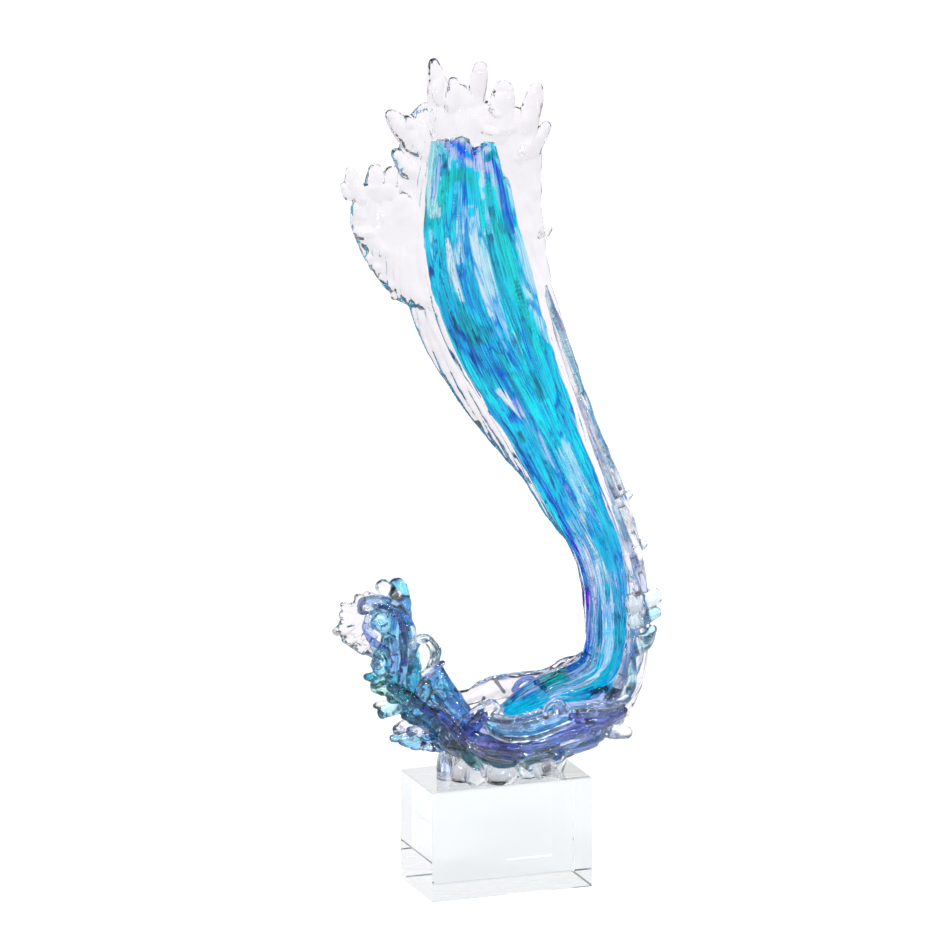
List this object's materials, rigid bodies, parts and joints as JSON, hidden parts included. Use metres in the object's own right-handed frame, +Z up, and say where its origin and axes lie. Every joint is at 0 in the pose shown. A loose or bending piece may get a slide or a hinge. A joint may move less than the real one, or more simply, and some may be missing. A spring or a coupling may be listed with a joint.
{
  "type": "glass wave sculpture",
  "caption": "Tall breaking wave of clear and coloured hot-worked glass, curling up from a low trough and crest, on a rectangular crystal plinth.",
  "frame": {"origin": "centre of the plinth's underside, where the sculpture rests", "axes": "+X along the plinth's long side towards the wave's heel, +Y to the back, +Z up"},
  "size_m": [0.345, 0.1323, 0.8698],
  "materials": {
    "optical_crystal": "polished",
    "clear_adhesive": "gloss",
    "clear_glass": "fire-polished",
    "cyan_glass": "fire-polished",
    "teal_glass": "fire-polished",
    "indigo_glass": "fire-polished",
    "violet_glass": "fire-polished"
  },
  "bodies": {
    "root": {"adhesive_film": "clear_adhesive", "back_wall": "clear_glass", "crest_arch": "clear_glass", "crest_bead": "clear_glass", "crest_clear_lobe": "clear_glass", "crest_curl_lower": "clear_glass", "crest_curl_upper": "clear_glass", "crest_flank": "indigo_glass", "crest_frill_1": "clear_glass", "crest_frill_2": "clear_glass", "crest_frill_3": "clear_glass", "crest_frill_4": "clear_glass", "crest_frill_5": "clear_glass", "crest_hook": "clear_glass", "crest_lump_lower": "teal_glass", "crest_lump_upper": "teal_glass", "crest_spray": "clear_glass", "crest_stem": "teal_glass", "crest_tip_lobe": "teal_glass", "crown_dish": "clear_glass", "crown_finger_1": "clear_glass", "crown_finger_2": "clear_glass", "crown_finger_3": "clear_glass", "crown_finger_4": "clear_glass", "crown_finger_5": "clear_glass", "crown_finger_6": "clear_glass", "crown_lobe_left": "clear_glass", "crown_lobe_right": "clear_glass", "crystal_plinth": "optical_crystal", "foot_gather_1": "clear_glass", "foot_gather_2": "clear_glass", "foot_gather_3": "clear_glass", "foot_gather_4": "clear_glass", "foot_gather_5": "clear_glass", "foot_gather_6": "clear_glass", "foot_gather_7": "clear_glass", "foot_gather_8": "clear_glass", "lens_drop": "clear_glass", "lip_ribbon_navy": "indigo_glass", "lip_rope_clear": "clear_glass", "lip_rope_upper": "clear_glass", "lip_rope_violet": "violet_glass", "plume_casing": "clear_glass", "plume_core": "cyan_glass", "ridge_bead_lower": "clear_glass", "ridge_bead_middle": "clear_glass", "ridge_bead_upper": "clear_glass", "ridge_drop": "clear_glass", "ridge_rope": "clear_glass", "splash_drop": "clear_glass", "splash_lower_lobe": "clear_glass", "splash_sheet": "clear_glass", "splash_side_bump": "clear_glass", "splash_tip": "clear_glass", "splash_upper_lobe": "clear_glass", "spray_bead_left": "clear_glass", "spray_bead_lower": "clear_glass", "spray_bead_upper": "clear_glass", "trough_bowl": "indigo_glass"}
  },
  "joints": []
}
